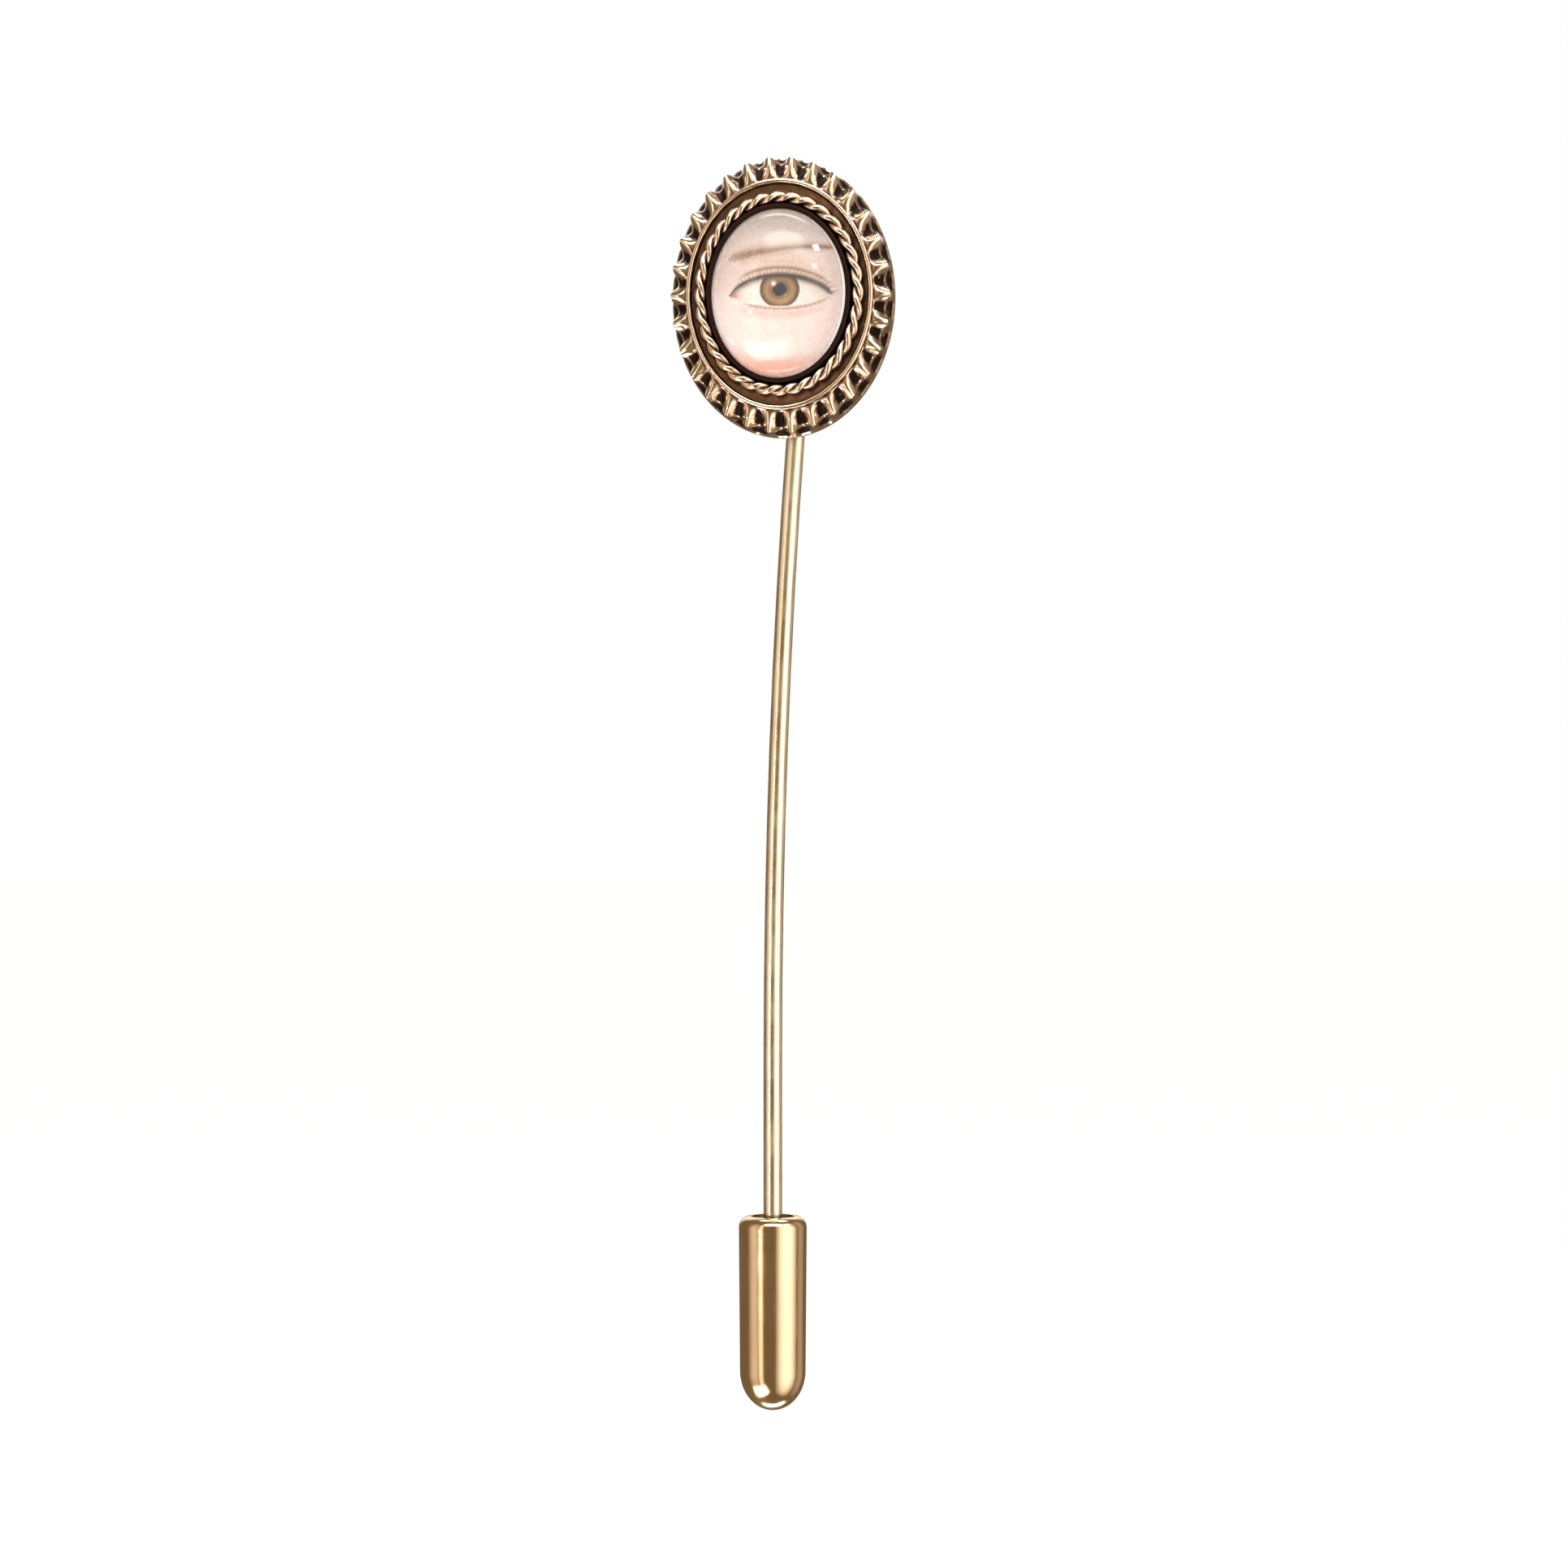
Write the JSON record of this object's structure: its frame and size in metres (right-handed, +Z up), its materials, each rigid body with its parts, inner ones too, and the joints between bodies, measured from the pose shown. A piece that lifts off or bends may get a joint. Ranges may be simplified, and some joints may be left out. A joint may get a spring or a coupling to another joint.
{
  "type": "hat pin",
  "caption": "Stick pin with an oval head, a domed glass over a painted plaque, a bowed wire stem and a slide-off bullet clutch over the point.",
  "frame": {"origin": "on the stem's axis, in the middle of its straight exposed stretch, where cloth sits", "axes": "+Z up the straight stretch of stem towards the head, the head's face looks along -Y, +X to the right seen from the face"},
  "size_m": [0.0118, 0.008, 0.0667],
  "materials": {
    "stem_gold": "polished",
    "clutch_gold": "polished",
    "aged_gold": "worn, dark in the recesses",
    "dark_gold": "oxidised",
    "solder": "satin",
    "spring_metal": "satin",
    "nylon": "matte",
    "card": "matte",
    "paint": "painted miniature",
    "glass": "polished"
  },
  "bodies": {
    "pin": {"stem": "stem_gold", "stem_socket": "solder", "solder_pad": "solder", "back_plate": "aged_gold", "fluted_collar": "aged_gold", "rim_band": "aged_gold", "rope_tray": "dark_gold", "rope_strand_a": "aged_gold", "rope_strand_b": "aged_gold", "bezel": "dark_gold", "packing_card": "card", "painted_plaque": "paint", "glass_dome": "glass"},
    "grip": {"grip_spring": "spring_metal"},
    "clutch": {"clutch_shell": "clutch_gold", "guide_washer": "nylon", "spacer_sleeve": "nylon", "tip_cushion": "nylon"}
  },
  "joints": [
    {"name": "clutch_slide", "type": "slide", "parent": "pin", "child": "grip", "axis": [0, 0, -1], "range_m": [0, 0.015]},
    {"name": "clutch_spin", "type": "hinge", "parent": "grip", "child": "clutch", "pos_m": [0, 0, -0.0041], "axis": [0, 0, 1], "continuous": true}
  ]
}
